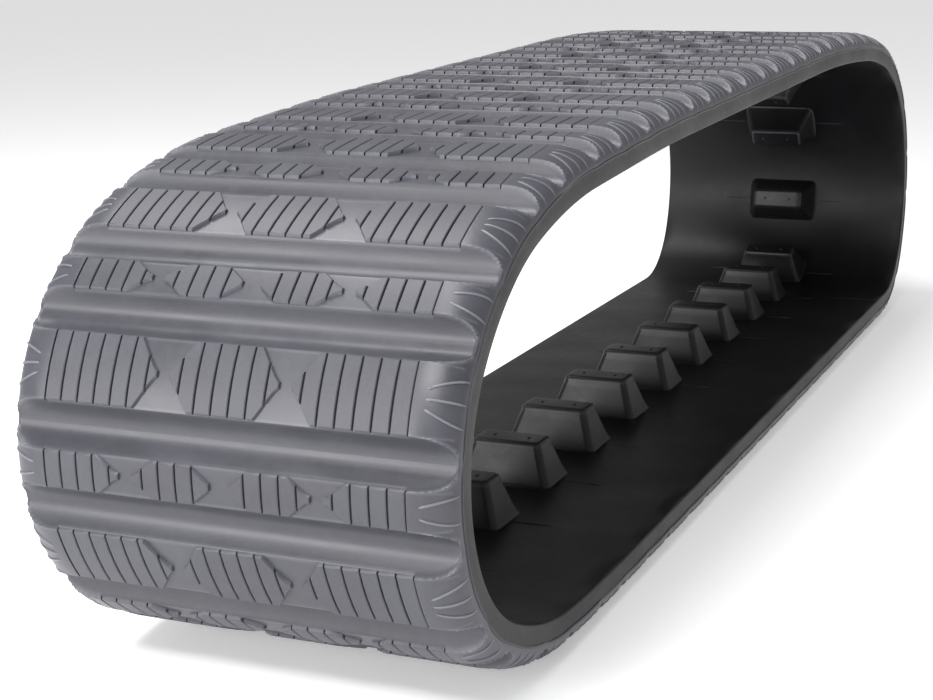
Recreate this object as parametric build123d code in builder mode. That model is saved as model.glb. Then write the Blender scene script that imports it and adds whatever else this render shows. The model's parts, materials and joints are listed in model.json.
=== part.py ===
# Endless rubber track for a compact tracked loader, lying relaxed on its tread.
# The belt is 28 equal pitch cells, each a straight or a single arc, closed into a loop.
# X runs along the loop, Y across the belt, Z up. The rear end is at +X, the front end at -X.
from build123d import *
from math import cos, radians, sin
import os

pitch = 87.6                 # drive lug spacing along the cord line
belt_width = 240.0
inner_cover = 6.5            # rubber on the wheel side of the cord line
outer_cover = 5.5            # rubber on the ground side of the cord line
edge_chamfer = 2.0
flex_gap = 1.0               # half of the slot between two neighbouring bodies

# turn of each cell in degrees, from the rear end of the ground run, forwards and round
cell_turns = [0, 0, 0, 0, 0, 0, 0, 0, 0, 3]
cell_turns += [23.5, 50, 54, 33.5]
cell_turns += [13, 0, 2, 0, 0, 0, 0, 2.5, 2, 7.5]
cell_turns += [23.5, 42, 41, 62.5]

cord_diameter = 3.6
cord_spacing = 11.0
cord_count = 20

bar_height = 12.5
bar_side_run = 4.0           # how far each bar side leans out from top to base
shoulder_run = 20.0          # how far each bar end leans out at the belt edge
wide_bar_at = 62.45          # bar centre from the start of its cell
wide_bar_top = 29.0
narrow_bar_at = 18.65
narrow_bar_top = 16.0
recess_depth = 3.2
recess_waist = 7.0
recess_flare = 30.0
wide_recesses = [-33.0, 33.0]
narrow_recesses = [-52.0, 0.0, 52.0]

lug_at = 50.35               # lug centre from the start of its cell
lug_height = 27.0
lug_base = 40.0
lug_top = 22.0
lug_width = 64.0
lug_end_run = 9.0

ground_z = outer_cover + bar_height
loop_start_x = 465.223

body_cells = {
    "bottom": range(0, 10),
    "front_1": range(10, 11),
    "front_2": range(11, 12),
    "front_3": range(12, 13),
    "front_4": range(13, 14),
    "top": range(14, 24),
    "rear_4": range(24, 25),
    "rear_3": range(25, 26),
    "rear_2": range(26, 27),
    "rear_1": range(27, 28),
}


def step_along(state, length, turn):
    # state is x, z and heading in degrees; heading 0 points along -X, 90 along +Z
    x, z, heading = state
    start = radians(heading)
    end = radians(heading + turn)
    if turn == 0:
        return (x - length * cos(start), z + length * sin(start), heading)
    radius = length / radians(turn)
    new_x = x + radius * (sin(start) - sin(end))
    new_z = z + radius * (cos(start) - cos(end))
    return (new_x, new_z, heading + turn)


cell_starts = [(loop_start_x, ground_z, 0.0)]
for turn in cell_turns:
    cell_starts.append(step_along(cell_starts[-1], pitch, turn))


def place(cell, distance):
    turn = cell_turns[cell] * distance / pitch
    return step_along(cell_starts[cell], distance, turn)


def across_plane(cell, distance):
    # local x is the belt width, local y points to the ground side, normal runs along the belt
    x, z, heading = place(cell, distance)
    along = (-cos(radians(heading)), 0, sin(radians(heading)))
    return Plane(origin=(x, 0, z), x_dir=(0, 1, 0), z_dir=along)


def side_plane(cell, distance):
    # local x runs along the belt, local y points to the ground side
    x, z, heading = place(cell, distance)
    along = (-cos(radians(heading)), 0, sin(radians(heading)))
    return Plane(origin=(x, 0, z), x_dir=along, z_dir=(0, -1, 0))


def turn_axis(cell):
    x, z, heading = cell_starts[cell]
    radius = pitch / radians(cell_turns[cell])
    centre = (x + radius * sin(radians(heading)), 0, z + radius * cos(radians(heading)))
    return Axis(centre, (0, 1, 0))


def span(cells, cell):
    # the stretch of a cell that its body fills, short of the flex slots at the body's ends
    first = flex_gap if cell == cells[0] else 0.0
    last = pitch - flex_gap if cell == cells[-1] else pitch
    return first, last


def run_along(cell, first, last):
    # carries the pending sketch along one cell
    if cell_turns[cell] == 0:
        extrude(amount=last - first)
    else:
        revolve(axis=turn_axis(cell), revolution_arc=cell_turns[cell] * (last - first) / pitch)


def cord_places():
    middle = (cord_count - 1) / 2
    return [((i - middle) * cord_spacing, 0) for i in range(cord_count)]


def build_inner_cover(cells):
    half = belt_width / 2
    with BuildPart() as cover:
        for cell in cells:
            first, last = span(cells, cell)
            with BuildSketch(across_plane(cell, first)):
                Polygon(
                    (-half, 0),
                    (half, 0),
                    (half, -inner_cover + edge_chamfer),
                    (half - edge_chamfer, -inner_cover),
                    (-half + edge_chamfer, -inner_cover),
                    (-half, -inner_cover + edge_chamfer),
                    align=None,
                )
                with Locations(*cord_places()):
                    Circle(cord_diameter / 2, mode=Mode.SUBTRACT)
            run_along(cell, first, last)
    return cover.part


def build_outer_cover(cells):
    with BuildPart() as cover:
        for cell in cells:
            first, last = span(cells, cell)
            with BuildSketch(across_plane(cell, first)):
                with Locations((0, outer_cover / 2)):
                    Rectangle(belt_width, outer_cover)
                with Locations(*cord_places()):
                    Circle(cord_diameter / 2, mode=Mode.SUBTRACT)
            run_along(cell, first, last)
    return cover.part


def build_cords(cells):
    with BuildPart() as cords:
        for cell in cells:
            first, last = span(cells, cell)
            with BuildSketch(across_plane(cell, first)):
                with Locations(*cord_places()):
                    Circle(cord_diameter / 2)
            run_along(cell, first, last)
    return cords.part


def surface_point(cell, along, depth):
    # a point on the belt surface, `along` away from the side plane's origin, in that plane
    turn = cell_turns[cell]
    if turn == 0:
        return (along, depth)
    radius = pitch / radians(turn)
    swing = along / radius
    return ((radius + depth) * sin(swing), (radius + depth) * cos(swing) - radius)


def block_points(cell, depth, base, top, rise):
    # side view of a block on the belt surface; a negative rise stands on the wheel side
    left = surface_point(cell, -base / 2, depth)
    middle = surface_point(cell, 0, depth)
    right = surface_point(cell, base / 2, depth)
    return left, (-top / 2, depth + rise), (top / 2, depth + rise), right, middle


def end_wedges(depth, rise, half_width, run):
    # the material taken off the two ends of a block so that they lean inwards
    way = 1 if rise > 0 else -1
    low = depth + rise * 0.15
    high = depth + rise + way
    wedges = []
    for side in (-1, 1):
        foot = side * half_width
        tip = side * (half_width - run)
        outside = side * (half_width + 5)
        wedges.append([(foot, low), (tip, high), (outside, high), (outside, low)])
    return wedges


def recess_points(y, half):
    # a waisted pocket that leaves pads with pointed ends on both sides of it
    flare = recess_flare / 2
    waist = recess_waist / 2
    return [
        (y - flare, -half),
        (y + flare, -half),
        (y + waist, 0),
        (y + flare, half),
        (y - flare, half),
        (y - waist, 0),
    ]


def bar_top_plane(cell, distance):
    # local x is the belt width, normal points away from the belt
    level = outer_cover + bar_height
    x, z, heading = place(cell, distance)
    out = (-sin(radians(heading)), 0, -cos(radians(heading)))
    origin = (x + out[0] * level, 0, z + out[2] * level)
    return Plane(origin=origin, x_dir=(0, 1, 0), z_dir=out)


def build_bars(cells, distance, top, places):
    base = top + 2 * bar_side_run
    half = belt_width / 2
    with BuildPart() as bars:
        for cell in cells:
            left, top_left, top_right, right, middle = block_points(cell, outer_cover, base, top, bar_height)
            with BuildSketch(side_plane(cell, distance)):
                with BuildLine():
                    Polyline(left, top_left, top_right, right)
                    if cell_turns[cell] == 0:
                        Line(right, left)
                    else:
                        ThreePointArc(right, middle, left)
                make_face()
            extrude(amount=half, both=True)
            for wedge in end_wedges(outer_cover, bar_height, half, shoulder_run):
                with BuildSketch(across_plane(cell, distance)):
                    Polygon(*wedge, align=None)
                extrude(amount=base, both=True, mode=Mode.SUBTRACT)
            with BuildSketch(bar_top_plane(cell, distance)):
                for y in places:
                    Polygon(*recess_points(y, base / 2), align=None)
            extrude(amount=-recess_depth, mode=Mode.SUBTRACT)
    return bars.part


def build_lugs(cells):
    half = lug_width / 2
    with BuildPart() as lugs:
        for cell in cells:
            left, top_left, top_right, right, middle = block_points(
                cell, -inner_cover, lug_base, lug_top, -lug_height
            )
            with BuildSketch(side_plane(cell, lug_at)):
                with BuildLine():
                    Polyline(left, top_left, top_right, right)
                    if cell_turns[cell] == 0:
                        Line(right, left)
                    else:
                        ThreePointArc(right, middle, left)
                make_face()
            extrude(amount=half, both=True)
            for wedge in end_wedges(-inner_cover, -lug_height, half, lug_end_run):
                with BuildSketch(across_plane(cell, lug_at)):
                    Polygon(*wedge, align=None)
                extrude(amount=lug_base, both=True, mode=Mode.SUBTRACT)
    return lugs.part


os.makedirs("parts", exist_ok=True)
for body, cells in body_cells.items():
    pieces = {
        "inner_cover": build_inner_cover(cells),
        "tension_cords": build_cords(cells),
        "outer_cover": build_outer_cover(cells),
        "wide_bars": build_bars(cells, wide_bar_at, wide_bar_top, wide_recesses),
        "narrow_bars": build_bars(cells, narrow_bar_at, narrow_bar_top, narrow_recesses),
        "drive_lugs": build_lugs(cells),
    }
    for piece, shape in pieces.items():
        shape.label = body + "_" + piece
        export_step(shape, "parts/" + shape.label + ".step")
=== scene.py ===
import json
import math
import bpy
import numpy as np
from mathutils import Matrix, Vector

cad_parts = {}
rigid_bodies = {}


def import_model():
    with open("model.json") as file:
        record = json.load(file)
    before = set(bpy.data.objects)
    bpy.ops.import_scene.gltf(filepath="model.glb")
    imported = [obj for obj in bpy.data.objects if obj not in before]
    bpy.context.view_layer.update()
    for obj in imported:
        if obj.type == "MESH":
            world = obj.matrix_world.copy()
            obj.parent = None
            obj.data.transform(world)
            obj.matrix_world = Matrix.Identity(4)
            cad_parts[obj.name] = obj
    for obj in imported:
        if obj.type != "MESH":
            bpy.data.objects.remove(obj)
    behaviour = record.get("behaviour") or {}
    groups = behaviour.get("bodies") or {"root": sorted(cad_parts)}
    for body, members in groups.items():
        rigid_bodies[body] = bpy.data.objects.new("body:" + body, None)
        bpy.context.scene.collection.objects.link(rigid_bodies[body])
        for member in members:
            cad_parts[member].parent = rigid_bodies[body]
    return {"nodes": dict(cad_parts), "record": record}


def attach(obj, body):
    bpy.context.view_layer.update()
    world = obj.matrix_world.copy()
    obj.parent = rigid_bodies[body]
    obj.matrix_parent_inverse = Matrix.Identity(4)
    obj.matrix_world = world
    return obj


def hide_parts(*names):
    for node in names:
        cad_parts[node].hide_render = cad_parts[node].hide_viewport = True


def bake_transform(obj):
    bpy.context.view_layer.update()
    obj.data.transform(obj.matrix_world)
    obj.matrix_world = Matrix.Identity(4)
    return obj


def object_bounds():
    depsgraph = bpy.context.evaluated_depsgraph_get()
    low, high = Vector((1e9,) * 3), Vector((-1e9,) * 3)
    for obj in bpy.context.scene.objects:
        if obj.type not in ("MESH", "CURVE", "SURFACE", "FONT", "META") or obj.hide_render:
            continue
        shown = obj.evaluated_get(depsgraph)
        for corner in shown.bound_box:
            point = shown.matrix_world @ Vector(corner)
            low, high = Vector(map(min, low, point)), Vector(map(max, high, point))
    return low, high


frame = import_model()
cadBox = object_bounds()
mm = 0.001

print("stage: belt path")

# one belt cell is one lug pitch; turns are how far the belt turns in each cell, in degrees
belt = {
    "pitch": 87.6 * mm,
    "halfWidth": 120 * mm,
    "turns": [0] * 9 + [3] + [23.5, 50, 54, 33.5] + [13, 0, 2, 0, 0, 0, 0, 2.5, 2, 7.5]
    + [23.5, 42, 41, 62.5],
    "samplesPerCell": 176,
    "softening": 30 * mm,       # how far a change of curvature is spread along the belt
    "startJoint": "rear_flex_1",
    "innerFace": -6.5 * mm,     # heights are measured from the steel cord line, outwards
    "partingHeight": 4.6 * mm,
}
cellBodies = ["bottom"] * 10 + ["front_1", "front_2", "front_3", "front_4"] + ["top"] * 10 \
    + ["rear_4", "rear_3", "rear_2", "rear_1"]
joints = {j["name"]: j for j in frame["record"]["behaviour"]["joints"]}


def makeLoop(b):
    # heading = running sum of the turns, spread by a raised-cosine window; place = running sum of the heading's
    # direction, with the small closing gap shared out evenly
    cells = len(b["turns"])
    n = cells * b["samplesPerCell"]
    length = cells * b["pitch"]
    ds = length / n
    s = np.arange(n) * ds
    turn = np.repeat(np.radians(b["turns"]), b["samplesPerCell"]) / b["samplesPerCell"]
    total = turn.sum()
    heading = np.concatenate([[0], np.cumsum(turn)])[:-1]
    w = np.hanning(int(b["softening"] / ds) | 1)
    w /= w.sum()
    trend = total * s / length
    pad = len(w)
    wave = heading - trend
    soft = np.convolve(np.concatenate([wave[-pad:], wave, wave[:pad]]), w, "same")[pad:-pad] + trend

    def placesOf(angle):
        step = np.stack([-np.cos(angle), np.sin(angle)], 1) * ds
        step -= step.mean(0)
        return np.concatenate([[[0, 0]], np.cumsum(step, 0)])[:-1]
    start = joints[b["startJoint"]]["pos_m"]
    plain = placesOf(heading) + np.array([start[0], start[2]])
    place = placesOf(soft)
    place += plain.mean(0) - place.mean(0)
    return {"s": s, "x": place[:, 0], "z": place[:, 1], "heading": soft, "length": length}


loop = makeLoop(belt)


def onBelt(s, y, h):
    # belt place: the point of the cord line at run s, moved sideways by y and outwards by h
    s, y, h = np.broadcast_arrays(s, y, h)
    length = loop["length"]
    laps = np.floor(s / length)
    r = s - laps * length
    around = np.append(loop["s"], length)
    x = np.interp(r, around, np.append(loop["x"], loop["x"][0]))
    z = np.interp(r, around, np.append(loop["z"], loop["z"][0]))
    a = np.interp(r, around, np.append(loop["heading"], loop["heading"][0] + 2 * np.pi))
    return np.stack([x - np.sin(a) * h, y, z - np.cos(a) * h], -1)


def meshFrom(name, parts):
    # parts are (points, faces, value), with faces in arrays of equal-sided rows; the value of each point is
    # kept as the attribute "edge", which the materials paint lighter: a painted highlight on edges and ridges,
    # partly rubbed wear
    points, faces, highlightAndWearValues, base = [], [], [], 0
    for p, f, v in parts:
        points.append(p.reshape(-1, 3))
        highlightAndWearValues.append(np.broadcast_to(v, points[-1].shape[0]) if np.ndim(v) == 0 else np.ravel(v))
        faces += [(g + base) for g in f]
        base += len(points[-1])
    co = np.concatenate(points)
    mesh = bpy.data.meshes.new(name)
    mesh.vertices.add(len(co))
    mesh.vertices.foreach_set("co", co.ravel())
    sizes = np.concatenate([np.full(len(g), g.shape[1]) for g in faces])
    loops = np.concatenate([g.ravel() for g in faces])
    mesh.loops.add(len(loops))
    mesh.loops.foreach_set("vertex_index", loops.astype(np.int32))
    mesh.polygons.add(len(sizes))
    mesh.polygons.foreach_set("loop_start", np.concatenate([[0], np.cumsum(sizes)[:-1]]).astype(np.int32))
    mesh.polygons.foreach_set("use_smooth", np.ones(len(sizes), bool))
    highlightAndWear = mesh.attributes.new("edge", "FLOAT", "POINT")
    highlightAndWear.data.foreach_set("value", np.concatenate(highlightAndWearValues).astype(np.float32))
    mesh.update(calc_edges=True)
    mesh.validate()
    return mesh


def addPiece(name, parts, material, sharpAngle=38):
    mesh = meshFrom(name, parts)
    mesh.set_sharp_from_angle(angle=math.radians(sharpAngle))
    piece = bpy.data.objects.new(name, mesh)
    bpy.context.scene.collection.objects.link(piece)
    mesh.materials.append(material)
    return piece


def gridFaces(rows, cols, flip=False):
    # quads of a grid of rows x cols points
    i = np.arange(rows - 1)[:, None] * cols + np.arange(cols - 1)[None]
    q = np.stack([i, i + 1, i + cols + 1, i + cols], -1).reshape(-1, 4)
    return q[:, ::-1] if flip else q


print("stage: materials")


def newGroup(name, inputs, outputs):
    g = bpy.data.node_groups.new(name, "ShaderNodeTree")
    for label, kind, value in inputs:
        socket = g.interface.new_socket(label, in_out="INPUT", socket_type=kind)
        if value is not None:
            socket.default_value = value
    for label, kind in outputs:
        g.interface.new_socket(label, in_out="OUTPUT", socket_type=kind)
    return g, g.nodes.new("NodeGroupInput"), g.nodes.new("NodeGroupOutput")


def mathNode(tree, operation, a, b=None, clamp=False):
    node = tree.nodes.new("ShaderNodeMath")
    node.operation = operation
    node.use_clamp = clamp
    for k, v in enumerate([a, b]):
        if v is None:
            continue
        if isinstance(v, (int, float)):
            node.inputs[k].default_value = v
        else:
            tree.links.new(v, node.inputs[k])
    return node.outputs[0]


def noiseNode(tree, vector, scale, detail=4.0, roughness=0.55):
    node = tree.nodes.new("ShaderNodeTexNoise")
    node.inputs["Detail"].default_value = detail
    node.inputs["Roughness"].default_value = roughness
    tree.links.new(vector, node.inputs["Vector"])
    if isinstance(scale, (int, float)):
        node.inputs["Scale"].default_value = scale
    else:
        tree.links.new(scale, node.inputs["Scale"])
    return node.outputs["Fac"]


def makeGrainGroup():
    # moulded rubber skin: fine grain plus slow waviness, as a height
    inputs = [("Vector", "NodeSocketVector", None), ("Fine Scale", "NodeSocketFloat", 900.0),
              ("Wave Scale", "NodeSocketFloat", 40.0), ("Wave Share", "NodeSocketFloat", 0.5)]
    g, i, o = newGroup("rubberGrain", inputs, [("Height", "NodeSocketFloat")])
    fine = noiseNode(g, i.outputs["Vector"], i.outputs["Fine Scale"], 3.0)
    wave = noiseNode(g, i.outputs["Vector"], i.outputs["Wave Scale"], 2.0)
    share = mathNode(g, "MULTIPLY", wave, i.outputs["Wave Share"])
    g.links.new(mathNode(g, "ADD", fine, share), o.inputs["Height"])
    return g


def makeScuffGroup():
    # patchy bloom and scuffs, as a mask from 0 to 1
    inputs = [("Vector", "NodeSocketVector", None), ("Scale", "NodeSocketFloat", 18.0),
              ("Contrast", "NodeSocketFloat", 3.0)]
    g, i, o = newGroup("rubberBloom", inputs, [("Mask", "NodeSocketFloat")])
    broad = noiseNode(g, i.outputs["Vector"], i.outputs["Scale"], 6.0, 0.6)
    fine = noiseNode(g, i.outputs["Vector"], mathNode(g, "MULTIPLY", i.outputs["Scale"], 14.0), 4.0, 0.7)
    both = mathNode(g, "ADD", mathNode(g, "MULTIPLY", broad, 0.7), mathNode(g, "MULTIPLY", fine, 0.3))
    spread = mathNode(g, "MULTIPLY", mathNode(g, "SUBTRACT", both, 0.5), i.outputs["Contrast"])
    g.links.new(mathNode(g, "ADD", spread, 0.5, clamp=True), o.inputs["Mask"])
    return g


grainGroup = makeGrainGroup()
scuffGroup = makeScuffGroup()

# dark and light are the two ends of the bloom, edge is the lighter tone of crisp edges and ridges, a painted
# highlight and partly rubbed wear; colours are linear
finishes = {
    "treadRubber": {"dark": (0.040, 0.040, 0.049), "light": (0.064, 0.064, 0.078), "edge": (0.16, 0.16, 0.19),
                    "rough": (0.33, 0.46), "bump": 0.10, "scale": 16.0, "specular": 0.5},
    "padRubber": {"dark": (0.042, 0.042, 0.051), "light": (0.068, 0.068, 0.083), "edge": (0.14, 0.14, 0.17),
                  "rough": (0.42, 0.54), "bump": 0.16, "scale": 24.0, "specular": 0.5},
    # the carcass tone is the dark of the loop's inside and side faces, darker than the rubber itself: painted
    # shade
    "shadedCarcassRubber": {"dark": (0.0040, 0.0040, 0.0048), "light": (0.0085, 0.0085, 0.0100),
                      "edge": (0.06, 0.06, 0.07),
                      "rough": (0.38, 0.52), "bump": 0.10, "scale": 12.0, "specular": 0.28},
    # the lug tone is likewise darkened to the inside's dark: painted shade
    "shadedLugRubber": {"dark": (0.0055, 0.0055, 0.0065), "light": (0.0115, 0.0115, 0.0135),
                  "edge": (0.06, 0.06, 0.07),
                  "rough": (0.36, 0.48), "bump": 0.08, "scale": 20.0, "specular": 0.36},
}


def rubber(name, f):
    mat = bpy.data.materials.new(name)
    mat.use_nodes = True
    t = mat.node_tree
    shader = t.nodes["Principled BSDF"]
    coord = t.nodes.new("ShaderNodeTexCoord").outputs["Object"]
    grain = t.nodes.new("ShaderNodeGroup")
    grain.node_tree = grainGroup
    scuff = t.nodes.new("ShaderNodeGroup")
    scuff.node_tree = scuffGroup
    scuff.inputs["Scale"].default_value = f["scale"]
    for g in (grain, scuff):
        t.links.new(coord, g.inputs["Vector"])
    tone = t.nodes.new("ShaderNodeMix")
    tone.data_type = "RGBA"
    tone.inputs[6].default_value = (*f["dark"], 1)
    tone.inputs[7].default_value = (*f["light"], 1)
    t.links.new(scuff.outputs["Mask"], tone.inputs[0])
    # the edge attribute paints crisp edges and ridges lighter: painted highlight, partly rubbed wear
    highlightAndWear = t.nodes.new("ShaderNodeAttribute")
    highlightAndWear.attribute_name = "edge"
    highlightAndWearTone = t.nodes.new("ShaderNodeMix")
    highlightAndWearTone.data_type = "RGBA"
    highlightAndWearTone.inputs[7].default_value = (*f["edge"], 1)
    t.links.new(tone.outputs[2], highlightAndWearTone.inputs[6])
    t.links.new(mathNode(t, "MULTIPLY", highlightAndWear.outputs["Fac"], 0.8, clamp=True), highlightAndWearTone.inputs[0])
    t.links.new(highlightAndWearTone.outputs[2], shader.inputs["Base Color"])
    rough = t.nodes.new("ShaderNodeMapRange")
    rough.inputs["To Min"].default_value, rough.inputs["To Max"].default_value = f["rough"]
    t.links.new(scuff.outputs["Mask"], rough.inputs["Value"])
    t.links.new(rough.outputs["Result"], shader.inputs["Roughness"])
    bump = t.nodes.new("ShaderNodeBump")
    bump.inputs["Strength"].default_value = f["bump"]
    bump.inputs["Distance"].default_value = 0.6 * mm
    t.links.new(grain.outputs["Height"], bump.inputs["Height"])
    t.links.new(bump.outputs["Normal"], shader.inputs["Normal"])
    shader.inputs["Specular IOR Level"].default_value = f["specular"]
    return mat


def cordSteel():
    mat = bpy.data.materials.new("cordSteel")
    mat.use_nodes = True
    t = mat.node_tree
    shader = t.nodes["Principled BSDF"]
    shader.inputs["Metallic"].default_value = 1.0
    coord = t.nodes.new("ShaderNodeTexCoord").outputs["Object"]
    lay = t.nodes.new("ShaderNodeTexWave")            # the twist of the strands
    lay.bands_direction = "DIAGONAL"
    lay.inputs["Scale"].default_value = 180.0
    lay.inputs["Distortion"].default_value = 1.0
    t.links.new(coord, lay.inputs["Vector"])
    tone = t.nodes.new("ShaderNodeMix")
    tone.data_type = "RGBA"
    tone.inputs[6].default_value = (0.20, 0.19, 0.17, 1)
    tone.inputs[7].default_value = (0.52, 0.50, 0.46, 1)
    t.links.new(lay.outputs["Fac"], tone.inputs[0])
    t.links.new(tone.outputs[2], shader.inputs["Base Color"])
    shader.inputs["Roughness"].default_value = 0.38
    bump = t.nodes.new("ShaderNodeBump")
    bump.inputs["Strength"].default_value = 0.4
    bump.inputs["Distance"].default_value = 0.3 * mm
    t.links.new(lay.outputs["Fac"], bump.inputs["Height"])
    t.links.new(bump.outputs["Normal"], shader.inputs["Normal"])
    return mat


materials = {name: rubber(name, f) for name, f in finishes.items()}
steel = cordSteel()
nodeMaterials = {"tension_cords": steel, "outer_cover": materials["treadRubber"],
                 "wide_bars": materials["padRubber"], "narrow_bars": materials["padRubber"],
                 "inner_cover": materials["shadedCarcassRubber"], "drive_lugs": materials["shadedLugRubber"]}
for nodeName, nodeObject in frame["nodes"].items():
    for ending, mat in nodeMaterials.items():
        if nodeName.endswith(ending):
            nodeObject.data.materials.clear()
            nodeObject.data.materials.append(mat)


print("stage: spans")

# the belt is cut where the groove before each wide bar is deepest, and a span runs from one cut to a later one
cut = 37.3 * mm


def span(first, last, a, b, joint=None, hingeEnd=None):
    # s0..s1 along the belt; a and b are its two bodies, or one body twice
    pitch = belt["pitch"]
    s0 = first * pitch + (0 if hingeEnd == "start" else cut)
    s1 = last * pitch + (0 if hingeEnd == "end" else cut)
    return {"s0": s0, "s1": s1, "a": a, "b": b, "joint": joint}


spans = {
    "bottom_run": span(0, 9, "bottom", "bottom"),
    "front_bend_1": span(9, 10, "bottom", "front_1", "front_flex_1"),
    "front_bend_2": span(10, 11, "front_1", "front_2", "front_flex_2"),
    "front_bend_3": span(11, 12, "front_2", "front_3", "front_flex_3"),
    "front_bend_4": span(12, 13, "front_3", "front_4", "front_flex_4"),
    "front_bend_5": span(13, 14, "front_4", "top", "front_flex_5"),
    "top_run": span(14, 23, "top", "top"),
    "rear_bend_5": span(23, 24, "top", "rear_4", "rear_flex_5"),
    "rear_bend_4": span(24, 25, "rear_4", "rear_3", "rear_flex_4"),
    "rear_bend_3b": span(25, 26, "rear_3", "rear_3", hingeEnd="end"),
    "rear_bend_3a": span(26, 26, "rear_2", "rear_2", hingeEnd="start"),
    "rear_bend_2": span(26, 27, "rear_2", "rear_1", "rear_flex_2"),
    "rear_bend_1": span(27, 28, "rear_1", "bottom", "rear_flex_1"),
}
bendHalf = 9 * mm          # the reach each side of a hinge over which the belt's direction there is taken


def fasten(piece, part, endings):
    # a span over a joint stays where it lies, with its transform baked into the mesh; any other span rides on
    # its body
    if part["joint"]:
        k = round((part["s0"] + part["s1"] - 2 * cut + belt["pitch"]) / 2 / belt["pitch"])
        s = k * belt["pitch"]
        along = Vector(onBelt(s + bendHalf, 0.0, 0.0) - onBelt(s - bendHalf, 0.0, 0.0)).normalized()
        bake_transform(piece)
    else:
        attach(piece, part["a"])
    names = [f"{body}_{ending}" for body in dict.fromkeys([part["a"], part["b"]]) for ending in endings]
    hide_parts(*names)


def ridges(path, side, up, width, height, sink=0.5 * mm, value=1.0):
    # thin raised lines: path is (lines, points, 3) in belt places, side and up are unit belt directions; the
    # section is a low half-round with its foot sunk, fading to nothing at both ends
    # value is the ridge's lighter edge tone: painted highlight, partly rubbed wear
    n, m, _ = path.shape
    t = np.linspace(0, 1, m)
    fade = np.clip(np.minimum(t, 1 - t) * 9 + 0.25, 0, 1)[None, :, None, None]
    across = np.array([-0.5, -0.38, 0, 0.38, 0.5])[None, None, :, None]
    rise = np.array([-sink / height, 0.72, 1.0, 0.72, -sink / height])[None, None, :, None]
    lift = np.where(rise > 0, rise * fade, rise)
    ring = path[:, :, None] + side[:, None, None] * across * width * (0.4 + 0.6 * fade) \
        + up[:, None, None] * lift * height
    points = onBelt(ring[..., 0], ring[..., 1], ring[..., 2])
    i = np.arange(n)[:, None, None] * m * 5 + np.arange(m - 1)[None, :, None] * 5
    c = np.arange(5)[None, None]
    d = (c + 1) % 5
    quads = np.stack([i + c, i + d, i + 5 + d, i + 5 + c], -1).reshape(-1, 4)
    first = np.arange(n)[:, None] * m * 5 + np.arange(5)[None]
    return outward(points, [quads, first[:, ::-1], first + (m - 1) * 5], value)


def outward(points, faces, value):
    # turns every face round when the closed shape came out inside out, by the sign of its volume
    p = points.reshape(-1, 3)
    q = faces[0]
    a, b, c, d = (p[q[:, k]] for k in range(4))
    middle = p.mean(0)
    volume = (np.cross(b - a, c - a) * (a - middle)).sum() + (np.cross(c - a, d - a) * (a - middle)).sum()
    if volume < 0:
        faces = [f[:, ::-1] for f in faces]
    return points, faces, value


print("stage: carcass")

carcass = {"edgeRound": 1.6 * mm, "rowStep": 3.0 * mm, "lineHeight": 0.55 * mm, "lineWidth": 1.1 * mm,
           "lineFrom": 33 * mm, "lineTo": 62 * mm, "lugAt": 50.35 * mm, "partingWidth": 1.5 * mm,
           "partingHeight": 0.7 * mm, "waviness": 0.25 * mm}


def carcassBody(part, c):
    # closed slab: a rounded-cornered section carried along the belt, with slow waviness on its inner face
    inner, outer, half, r = belt["innerFace"], belt["partingHeight"], belt["halfWidth"], c["edgeRound"]
    a = np.linspace(0, np.pi / 2, 5)
    inside, outside = np.linspace(-half + r, half - r, 25)[1:-1], np.linspace(half, -half, 13)[1:-1]
    bulge, drop = half - r + r * np.sin(a), inner + r - r * np.cos(a)      # the rounded inner corner
    ys = np.concatenate([inside, bulge, [half, half], outside, [-half, -half], -bulge[::-1]])
    hs = np.concatenate([np.full(len(inside), inner), drop, [0.0, outer], np.full(len(outside), outer),
                         [outer, 0.0], drop[::-1]])
    rows = max(4, int(round((part["s1"] - part["s0"]) / c["rowStep"])) + 1)
    s = np.linspace(part["s0"], part["s1"], rows)[:, None]
    wave = np.sin(s * 71 + ys * 23) * np.sin(s * 23 - ys * 57 + 1.3) * c["waviness"]
    h = hs + np.where(hs == inner, wave, 0)
    points = onBelt(s, ys[None], h)
    n = len(ys)
    i = np.arange(rows - 1)[:, None] * n
    k = np.arange(n)[None]
    quads = np.stack([i + k, i + (k + 1) % n, i + n + (k + 1) % n, i + n + k], -1).reshape(-1, 4)
    ends = np.arange(n)[None]
    return outward(points, [quads, ends[:, ::-1], ends + (rows - 1) * n], 0.0)


def cellsOf(part, at):
    # belt runs of a feature that repeats once per cell, where it falls inside the span
    k = np.arange(-1, 30) * belt["pitch"] + at
    return k[(k > part["s0"]) & (k < part["s1"])]


def lugLines(part, c):
    # a fine raised line across the inner face each side of every lug
    s = cellsOf(part, c["lugAt"])
    if not len(s):
        return None
    t = np.linspace(0, 1, 8)
    lines = []
    for sign in (-1, 1):
        y = sign * (c["lineFrom"] + (c["lineTo"] - c["lineFrom"]) * t)
        lines.append(np.stack(np.broadcast_arrays(s[:, None], y[None], belt["innerFace"] + 0.1 * mm), -1))
    path = np.concatenate(lines)
    return ridges(path, np.tile([1.0, 0, 0], (len(path), 1)), np.tile([0, 0, -1.0], (len(path), 1)),
                  c["lineWidth"], c["lineHeight"], value=0.7)


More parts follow.
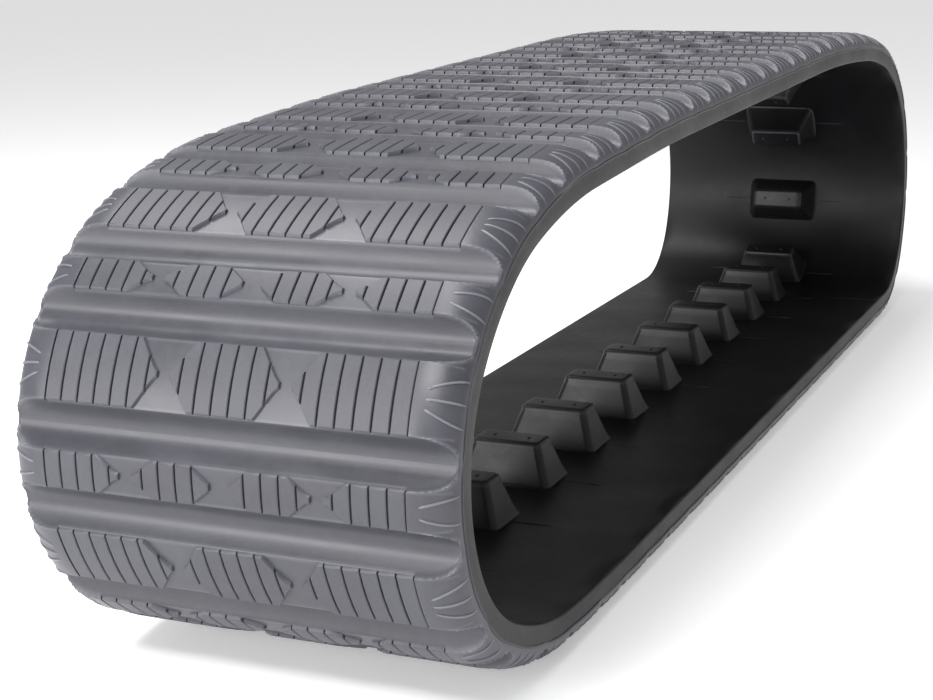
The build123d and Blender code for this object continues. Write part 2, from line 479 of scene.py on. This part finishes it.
def partingLine(part, c):
    # the mould's parting line along both outer corners, lifted a little where a shoulder rib meets it
    rows = max(6, int((part["s1"] - part["s0"]) / (2.2 * mm)))
    s = np.linspace(part["s0"], part["s1"], rows)
    lift = 0.7 * mm * np.abs(np.sin(np.pi * s / belt["pitch"] * 2)) ** 0.6
    paths = np.stack([np.stack([s, np.full(rows, side * (belt["halfWidth"] - 0.1 * mm)),
                                belt["partingHeight"] - 0.4 * mm + lift], -1) for side in (-1, 1)])
    return ridges(paths, np.tile([0, 0, 1.0], (2, 1)), np.array([[0, -1.0, 0], [0, 1.0, 0]]),
                  c["partingWidth"], c["partingHeight"], value=0.9)


for name, part in spans.items():
    parts = [carcassBody(part, carcass), lugLines(part, carcass), partingLine(part, carcass)]
    piece = addPiece(f"{name}_carcass", [p for p in parts if p], materials["shadedCarcassRubber"])
    fasten(piece, part, ["inner_cover"])


print("stage: tread")

tread = {"wideAt": 62.45 * mm, "wideHalf": 14.5 * mm, "narrowAt": 18.65 * mm, "narrowHalf": 8.0 * mm,
         "top": 18.0 * mm, "recess": 1.9 * mm, "floor": 7.6 * mm, "grooveShape": 2.4, "shoulderFrom": 98 * mm,
         "shoulderShape": 2.1, "lip": 1.0 * mm, "lipWidth": 1.2 * mm, "endStep": 0.3 * mm,
         "crispWidth": 0.45 * mm, "grooveHalf": 10.65 * mm, "skirt": 1.2 * mm,
         "sharpAngle": 32}


def fromBars(u, d):
    # distance outside the nearest bar's top, negative on it, with the groove's half length there
    pitch = belt["pitch"]
    u = np.mod(u, pitch)
    gaps = []
    for at, half in ((d["wideAt"], d["wideHalf"]), (d["narrowAt"], d["narrowHalf"])):
        gaps.append(np.abs(np.mod(u - at + pitch / 2, pitch) - pitch / 2) - half)
    return np.minimum(gaps[0], gaps[1])


def treadHeight(s, y, d):
    # lower of two surfaces: the concave groove (top at a bar's edge, floor at its middle, by a power law) and
    # the shoulder, which rolls off to the parting line, with a small bead where they meet
    v = fromBars(s, d)
    g = np.clip(v / d["grooveHalf"], 0, 1)
    groove = d["floor"] + (d["top"] - d["floor"]) * (1 - g) ** d["grooveShape"]
    out = np.clip((np.abs(y) - d["shoulderFrom"]) / (belt["halfWidth"] - d["shoulderFrom"]), 0, 1)
    roll = (1 - out ** d["shoulderShape"]) ** (1 / d["shoulderShape"])
    shoulder = belt["partingHeight"] + (d["top"] - belt["partingHeight"]) * roll
    bar = np.where(np.abs(y) < d["shoulderFrom"] - d["endStep"], d["top"] - d["recess"], d["top"])
    h = np.minimum(np.minimum(groove, shoulder), bar)
    onShoulder = (out > 0) & (out < 0.97)
    meet = np.exp(-((groove - shoulder) / d["lipWidth"]) ** 2) * onShoulder * np.clip(v / mm, 0, 1)
    # the second result paints the lip and the bar edges lighter: painted highlight, partly rubbed wear
    crispHighlightAndWear = np.exp(-(v / d["crispWidth"]) ** 2) * (out < 0.9) * 0.35
    return h + d["lip"] * meet, np.clip(meet * 0.75 + crispHighlightAndWear, 0, 1)


def rowRuns(s0, s1, d):
    # runs of the tread's rows: close together round every bar edge and spread out elsewhere
    pitch = belt["pitch"]
    marks = [s0, s1]
    offsets = np.array([-0.9, -0.35, 0.0, 0.25, 0.6, 1.1, 1.7, 2.5, 3.4, 4.4, 5.5, 6.7, 7.9, 9.2]) * mm
    edges = []
    for k in range(-1, 30):
        for at, half in ((d["wideAt"], d["wideHalf"]), (d["narrowAt"], d["narrowHalf"])):
            edges += [(k * pitch + at - half - offsets), (k * pitch + at + half + offsets)]
            edges.append(k * pitch + at + np.arange(-2, 3) * half / 3)
    rows = np.concatenate(edges)
    rows = rows[(rows > s0 + 0.2 * mm) & (rows < s1 - 0.2 * mm)]
    return np.unique(np.round(np.concatenate([rows, marks]), 6))


def treadColumns(d):
    inner = np.concatenate([np.linspace(0, 92, 17), [95, 96.8, 97.6, 97.9]]) * mm
    outer = np.concatenate([[98.6], np.linspace(100, 119, 24), [119.5, 119.8, 120]]) * mm
    right = np.concatenate([inner, outer])
    return np.concatenate([-right[:0:-1], right])


def treadBody(part, d):
    # height-field skin closed by a flat underside, two side strips and two end caps
    s = rowRuns(part["s0"], part["s1"], d)[:, None]
    y = treadColumns(d)[None]
    h, highlightAndWear = treadHeight(s, y, d)
    n, m = h.shape
    under = np.full(m, belt["partingHeight"] - d["skirt"])
    top = onBelt(s, y, h)
    below = onBelt(s, y * np.where(np.abs(y) > 119.9 * mm, 0.9985, 1.0), under[None])
    points = np.concatenate([top.reshape(-1, 3), below.reshape(-1, 3)])
    highlightAndWearValues = np.concatenate([highlightAndWear.ravel(), np.zeros(n * m)])
    base = n * m
    i = np.arange(n - 1)
    j = np.arange(m - 1)
    left = np.stack([i * m, (i + 1) * m, base + (i + 1) * m, base + i * m], -1)
    right = left[:, ::-1] + (m - 1)
    front = np.stack([j, base + j, base + j + 1, j + 1], -1)
    back = front[:, ::-1] + (n - 1) * m
    faces = [gridFaces(n, m), gridFaces(n, m, flip=True) + base, left, right, front, back]
    # rows run along the belt and columns across it, so the skin's own winding decides which way it all faces
    up = onBelt(s[0, 0], y[0, 0], 0.03) - onBelt(s[0, 0], y[0, 0], 0.0)
    if np.dot(np.cross(top[0, 1] - top[0, 0], top[1, 0] - top[0, 0]), up) < 0:
        faces = [f[:, ::-1] for f in faces]
    return points, faces, highlightAndWearValues


pads = {"waist": 7.0 * mm, "flare": 30.0 * mm, "wideRecesses": (-33 * mm, 33 * mm),
        "narrowRecesses": (-52 * mm, 0.0, 52 * mm), "sipeStep": 9.3 * mm, "sipeWidth": 1.0 * mm,
        "endAt": 97.65 * mm, "bevel": 0.35 * mm, "draft": 0.9 * mm, "shortest": 1.1 * mm,
        "narrowest": 1.2 * mm, "leastHalf": 1.8 * mm, "footBelow": 1.2 * mm}


def halfRun(y, half, recesses, c):
    # half the pad's length along the belt at y: full, and falling in a straight line to a point at each recess
    reach = np.full(np.shape(y), 1.0)
    slope = (c["flare"] - c["waist"]) / 2
    for at in recesses:
        reach = np.minimum(reach, np.clip((np.abs(y - at) - c["waist"] / 2) / slope, 0, 1))
    return half * reach


def stripEnds(recesses, c):
    # from one sipe to the next, left out inside a recess's waist; kinkOf below gives the place of the kink in
    # the outline
    sipes = (np.arange(-11, 11) + 0.5) * c["sipeStep"]
    sipes = sipes[np.abs(sipes) <= c["endAt"] + 0.1 * mm]
    strips = []
    for a, b in zip(sipes[:-1], sipes[1:]):
        a, b = a + c["sipeWidth"] / 2, b - c["sipeWidth"] / 2
        pieces = [(a, b)]
        for at in recesses:
            low, high = at - c["waist"] / 2, at + c["waist"] / 2
            pieces = [p for (l, r) in pieces for p in ((l, min(r, low)), (max(l, high), r))
                      if p[1] - p[0] > c["narrowest"]]
        strips += pieces
    return np.array(strips)


def kinkOf(a, b, recesses, c):
    kinks = np.array([at + sign * c["flare"] / 2 for at in recesses for sign in (-1, 1)])
    inside = (kinks[None] > a[:, None] + 0.8 * mm) & (kinks[None] < b[:, None] - 0.8 * mm)
    chosen = np.where(inside, kinks[None], 0).sum(1)
    return np.where(inside.any(1), chosen, (a + b) / 2)


def padStrips(part, at, half, recesses, d, c):
    # every strip is a bevelled block whose ends follow the pad's outline, with its foot sunk in the bar
    bars = cellsOf(part, at)
    if not len(bars):
        return None
    ends = stripEnds(recesses, c)
    a, b = ends[:, 0], ends[:, 1]
    kink = kinkOf(a, b, recesses, c)
    keep = np.maximum(halfRun(a, half, recesses, c), halfRun(b, half, recesses, c)) > c["leastHalf"]
    a, b, kink = a[keep], b[keep], kink[keep]
    e = c["bevel"]
    # columns across the belt: foot, wall top, bevel, outline kink, bevel, wall top, foot
    yCols = np.stack([a, a, a + e, kink, b - e, b, b], 1)
    yDrop = np.array([1, 0, 0, 0, 0, 0, 1.0])
    yLow = np.array([0, 1, 0, 0, 0, 1, 0.0])
    run = np.maximum(halfRun(yCols, half, recesses, c), c["shortest"])
    # rows along the belt: foot, wall top, bevel, three on top, bevel, wall top, foot
    side = np.array([-1, -1, -1, -0.5, 0, 0.5, 1, 1, 1.0])
    inset = np.array([c["draft"], 0, -e, 0, 0, 0, -e, 0, c["draft"]])
    uDrop = np.array([1, 0, 0, 0, 0, 0, 0, 0, 1.0])
    uLow = np.array([0, 1, 0, 0, 0, 0, 0, 1, 0.0])
    u = run[:, :, None] * side + np.sign(side) * inset
    drop = np.maximum(yDrop[:, None], uDrop[None])
    low = np.maximum(yLow[:, None], uLow[None]) * (1 - drop)
    h = d["top"] - e * low - (d["recess"] + c["footBelow"]) * drop
    s = bars[:, None, None, None] + u[None]
    y = np.broadcast_to(yCols[None, :, :, None], s.shape)
    points = onBelt(s, y, np.broadcast_to(h, s.shape))
    count = len(bars) * len(a)
    points = points.reshape(count, 7 * 9, 3)
    quads = gridFaces(7, 9)
    ringIndex = np.concatenate([np.arange(9), np.arange(1, 7) * 9 + 8, 6 * 9 + np.arange(7, -1, -1),
                                np.arange(5, 0, -1) * 9])
    base = (np.arange(count) * 63)[:, None, None]
    allQuads = (quads[None] + base).reshape(-1, 4)
    rings = ringIndex[None, ::-1] + base[:, 0]
    facing = np.cross(points[0, 4 * 9 + 3] - points[0, 3 * 9 + 3], points[0, 3 * 9 + 4] - points[0, 3 * 9 + 3])
    up = onBelt(bars[0], 0.0, 0.03) - onBelt(bars[0], 0.0, 0.0)
    faces = [allQuads, rings]
    if np.dot(-facing, up) < 0:
        faces = [f[:, ::-1] for f in faces]
    # the pad bevels are painted lighter: painted highlight, partly rubbed wear
    highlightAndWear = np.broadcast_to((np.maximum(low, 0) * 0.55)[None], (count, 7, 9))
    return points, faces, highlightAndWear


# each fan gives every rib's two ends along the belt, in mm from the bar's middle
ribs = {"wide": ((-4, -10), (0, 0), (4, 10)), "narrow": ((-2.4, -6), (2.4, 6)),
        "from": 104 * mm, "to": 119.6 * mm, "width": 1.3 * mm, "height": 0.75 * mm}
staples = {"dashes": 7, "outside": 1.0 * mm, "sunk": 0.35 * mm, "width": 0.9 * mm, "height": 0.45 * mm}


def shoulderRibs(part, at, fan, d, c):
    # thin ribs that fan out over the shoulder from near the bar's end to the parting line
    bars = cellsOf(part, at)
    if not len(bars):
        return None
    t = np.linspace(0, 1, 16)
    fanned = np.array(fan) * mm
    u = fanned[:, :1] + (fanned[:, 1:] - fanned[:, :1]) * t[None]
    lines = []
    for sign in (-1, 1):
        s = bars[:, None, None] + u[None]
        y = np.broadcast_to(sign * (c["from"] + (c["to"] - c["from"]) * t), s.shape)
        h = treadHeight(s, y, d)[0] - 0.05 * mm
        lines.append(np.stack([s, y, h], -1).reshape(-1, len(t), 3))
    path = np.concatenate(lines)
    n = len(path)
    return ridges(path, np.tile([1.0, 0, 0], (n, 1)), np.repeat([[0, -0.6, 0.8], [0, 0.6, 0.8]], n // 2, 0),
                  c["width"], c["height"], value=0.9)


def stapleDashes(part, at, half, d, c):
    # the dotted line across each bar where the pads end
    bars = cellsOf(part, at)
    if not len(bars):
        return None
    starts = (np.arange(c["dashes"]) + 0.5) / c["dashes"] * 2 - 1
    t = np.linspace(-0.5, 0.5, 4) * half * 1.25 / c["dashes"]
    lines = []
    for sign in (-1, 1):
        s = bars[:, None, None] + (starts * half * 0.92)[None, :, None] + t[None, None]
        y = np.full(s.shape, sign * (d["shoulderFrom"] + c["outside"]))
        lines.append(np.stack([s, y, np.full(s.shape, d["top"] - c["sunk"])], -1).reshape(-1, 4, 3))
    path = np.concatenate(lines)
    return ridges(path, np.tile([0, 1.0, 0], (len(path), 1)), np.tile([0, 0, 1.0], (len(path), 1)),
                  c["width"], c["height"], value=0.1)


def splitRun(name, part):
    # a long run is made as three pieces, cut in grooves, to keep each mesh light
    if part["s1"] - part["s0"] < 4 * belt["pitch"]:
        return {name: part}
    third = (part["s1"] - part["s0"]) / 3
    return {f"{name}_{k + 1}": dict(part, s0=part["s0"] + k * third, s1=part["s0"] + (k + 1) * third)
            for k in range(3)}


for name, whole in spans.items():
    for pieceName, part in splitRun(name, whole).items():
        body = [treadBody(part, tread), shoulderRibs(part, tread["wideAt"], ribs["wide"], tread, ribs),
                shoulderRibs(part, tread["narrowAt"], ribs["narrow"], tread, ribs),
                stapleDashes(part, tread["wideAt"], tread["wideHalf"], tread, staples),
                stapleDashes(part, tread["narrowAt"], tread["narrowHalf"], tread, staples)]
        piece = addPiece(f"{pieceName}_tread", [p for p in body if p], materials["treadRubber"],
                         tread["sharpAngle"])
        fasten(piece, part, ["outer_cover"])
        for kind in ("wide", "narrow"):
            strips = padStrips(part, tread[kind + "At"], tread[kind + "Half"], pads[kind + "Recesses"],
                               tread, pads)
            if strips:
                piece = addPiece(f"{pieceName}_{kind}_pads", [strips], materials["padRubber"],
                                 tread["sharpAngle"])
                fasten(piece, part, [kind + "_bars"])


print("stage: drive lugs")

lug = {"base": (40 * mm, 64 * mm), "top": (22 * mm, 46 * mm), "height": 27 * mm, "foot": 2.2 * mm,
       "corner": 5 * mm, "edge": 4 * mm, "at": 50.35 * mm, "nubAt": 12 * mm, "nubLength": 3 * mm,
       "nubWidth": 2.4 * mm, "nubHeight": 0.8 * mm, "sharpAngle": 60}


def lugsOf(cells, c):
    # stacked rounded-rectangle rings: the wide foot, the drafted sides, the rounded top edge and the flat top
    a = np.linspace(0, 2 * np.pi, 49)[:-1] + np.pi / 48
    levels, sizes, corners = [], [], []
    foot = c["foot"]
    for k in np.linspace(0, 1, 4):                    # the filleted foot
        grow = foot * (1 - math.sin(k * math.pi / 2))
        levels.append(-0.6 * mm + k * foot)
        sizes.append((c["base"][0] + 2 * grow, c["base"][1] + 2 * grow))
        corners.append(c["corner"] + grow)
    for k in np.linspace(0.15, 1, 5):                 # the sides
        levels.append(foot + k * (c["height"] - foot - c["edge"]))
        mix = levels[-1] / c["height"]
        sizes.append(tuple(b + (t - b) * mix for b, t in zip(c["base"], c["top"])))
        corners.append(c["corner"])
    last = sizes[-1]
    for k in np.linspace(0.2, 1, 5):                  # the rounded top edge
        turn = k * math.pi / 2
        levels.append(c["height"] - c["edge"] * (1 - math.sin(turn)))
        sizes.append(tuple(v - 2 * c["edge"] * (1 - math.cos(turn)) * 0.8 for v in last))
        corners.append(c["corner"] * (1 - 0.35 * k))
    for k in (0.75, 0.45, 0.15):                      # the flat top
        levels.append(c["height"] + 0.15 * mm * (1 - k))
        sizes.append(tuple(v * k for v in sizes[13]))
        corners.append(corners[13] * k)
    level = np.array(levels)[:, None]
    size = np.array(sizes)
    corner = np.array(corners)[:, None]
    cx, cy = np.cos(a)[None], np.sin(a)[None]
    # rounded rectangle: each point of a small circle pushed to its own corner, spread along the straight sides
    u = np.sign(cx) * (size[:, :1] / 2 - corner) + corner * cx
    v = np.sign(cy) * (size[:, 1:] / 2 - corner) + corner * cy
    s = (np.array(cells) * belt["pitch"] + c["at"])[:, None, None] + u[None]
    across = np.broadcast_to(v[None], s.shape)
    points = onBelt(s, across, np.broadcast_to((belt["innerFace"] - level)[None], s.shape))
    rings, n = len(levels), len(a)
    i = np.arange(len(cells))[:, None, None] * rings * n + np.arange(rings - 1)[None, :, None] * n
    k = np.arange(n)[None, None]
    quads = np.stack([i + k, i + (k + 1) % n, i + n + (k + 1) % n, i + n + k], -1).reshape(-1, 4)
    first = np.arange(len(cells))[:, None] * rings * n + np.arange(n)[None]
    # the lug's rounded top edge is painted lighter: painted highlight, partly rubbed wear
    highlightAndWear = np.zeros((len(cells), rings, n))
    highlightAndWear[:, 9:12] = 0.35
    return outward(points, [quads, first[:, ::-1], first + (rings - 1) * n], highlightAndWear)


def lugNubs(cells, c):
    # two small vent nubs on the top edge of each lug
    place = np.array(cells) * belt["pitch"] + c["at"]
    t = np.linspace(0, 1, 5)
    paths = []
    for sign in (-1, 1):
        s = np.broadcast_to(place[:, None] + (t - 0.5)[None] * c["nubLength"], (len(place), len(t)))
        paths.append(np.stack([s, np.full(s.shape, sign * c["nubAt"]),
                               np.full(s.shape, belt["innerFace"] - c["height"])], -1))
    path = np.concatenate(paths)
    return ridges(path, np.tile([0, 1.0, 0], (len(path), 1)), np.tile([0, 0, -1.0], (len(path), 1)),
                  c["nubWidth"], c["nubHeight"], value=0.4)


for body in dict.fromkeys(cellBodies):
    cells = [k for k, b in enumerate(cellBodies) if b == body]
    piece = addPiece(f"{body}_lugs", [lugsOf(cells, lug), lugNubs(cells, lug)], materials["shadedLugRubber"],
                     lug["sharpAngle"])
    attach(piece, body)
    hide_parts(f"{body}_drive_lugs")


print("stage: floor, light and camera")

studio = {"floorSize": 60.0, "floorTone": 0.95, "world": 0.42, "backdrop": 1.05, "floorGlow": 0.32}

floorMesh = bpy.data.meshes.new("floor")
half = studio["floorSize"] / 2
corners = [(-half, -half, 0), (half, -half, 0), (half, half, 0), (-half, half, 0)]
floorMesh.from_pydata(corners, [], [(0, 1, 2, 3)])
floor = bpy.data.objects.new("floor", floorMesh)
bpy.context.scene.collection.objects.link(floor)
floorMat = bpy.data.materials.new("floorPaper")
floorMat.use_nodes = True
paper = floorMat.node_tree.nodes["Principled BSDF"]
paper.inputs["Base Color"].default_value = (*[studio["floorTone"]] * 3, 1)
paper.inputs["Roughness"].default_value = 0.9
paper.inputs["Emission Color"].default_value = (1, 1, 1, 1)
paper.inputs["Emission Strength"].default_value = studio["floorGlow"]
floorMesh.materials.append(floorMat)

world = bpy.data.worlds.new("studio")
bpy.context.scene.world = world
world.use_nodes = True
shade = world.node_tree
air = shade.nodes["Background"]
air.inputs["Color"].default_value = (1, 1, 1, 1)
seen = shade.nodes.new("ShaderNodeLightPath")             # a white backdrop that lights the object less
level = shade.nodes.new("ShaderNodeMapRange")
level.inputs["To Min"].default_value = studio["world"]
level.inputs["To Max"].default_value = studio["backdrop"]
shade.links.new(seen.outputs["Is Camera Ray"], level.inputs["Value"])
shade.links.new(level.outputs["Result"], air.inputs["Strength"])

middle = (Vector(cadBox[0]) + Vector(cadBox[1])) / 2


def softbox(name, place, size, power):
    light = bpy.data.lights.new(name, "AREA")
    light.shape = "RECTANGLE"
    light.size, light.size_y = size
    light.energy = power
    lamp = bpy.data.objects.new(name, light)
    lamp.location = place
    lamp.rotation_euler = (middle - Vector(place)).to_track_quat("-Z", "Y").to_euler()
    bpy.context.scene.collection.objects.link(lamp)


lamps = {
    "overhead": {"place": (-0.4, 0.5, 1.7), "size": (1.6, 0.35), "power": 26},
    "frontLeft": {"place": (-2.2, 0.9, 0.6), "size": (0.5, 0.8), "power": 24},
    "frontHigh": {"place": (-1.9, 0.0, 1.5), "size": (1.0, 0.3), "power": 27},
}
for lampName, lamp in lamps.items():
    softbox(lampName, lamp["place"], lamp["size"], lamp["power"])

view = {"place": (-1.2772, -0.4361, 0.3896), "yaw": 23.43, "pitch": 13.51, "roll": -1.02, "focal": 1837.7,
        "frameWidth": 933, "sensor": 36.0}


def makeCamera(v):
    data = bpy.data.cameras.new("camera")
    data.sensor_width = v["sensor"]
    data.lens = v["focal"] / v["frameWidth"] * v["sensor"]
    data.clip_start = 0.05
    camera = bpy.data.objects.new("camera", data)
    yaw, pitch, roll = (math.radians(v[k]) for k in ("yaw", "pitch", "roll"))
    ahead = Vector((math.cos(yaw) * math.cos(pitch), math.sin(yaw) * math.cos(pitch), -math.sin(pitch)))
    right = ahead.cross(Vector((0, 0, 1))).normalized()
    up = right.cross(ahead)
    rolledRight = right * math.cos(roll) + up * math.sin(roll)
    rolledUp = up * math.cos(roll) - right * math.sin(roll)
    turn = Matrix((rolledRight, rolledUp, -ahead)).transposed()
    camera.matrix_world = Matrix.Translation(Vector(v["place"])) @ turn.to_4x4()
    bpy.context.scene.collection.objects.link(camera)
    bpy.context.scene.camera = camera


makeCamera(view)
bpy.context.scene.view_settings.view_transform = "Standard"

triangles = sum(len(p.vertices) - 2 for o in bpy.data.objects if o.type == "MESH" and not o.hide_render
                for p in o.data.polygons)
print("triangles", triangles)
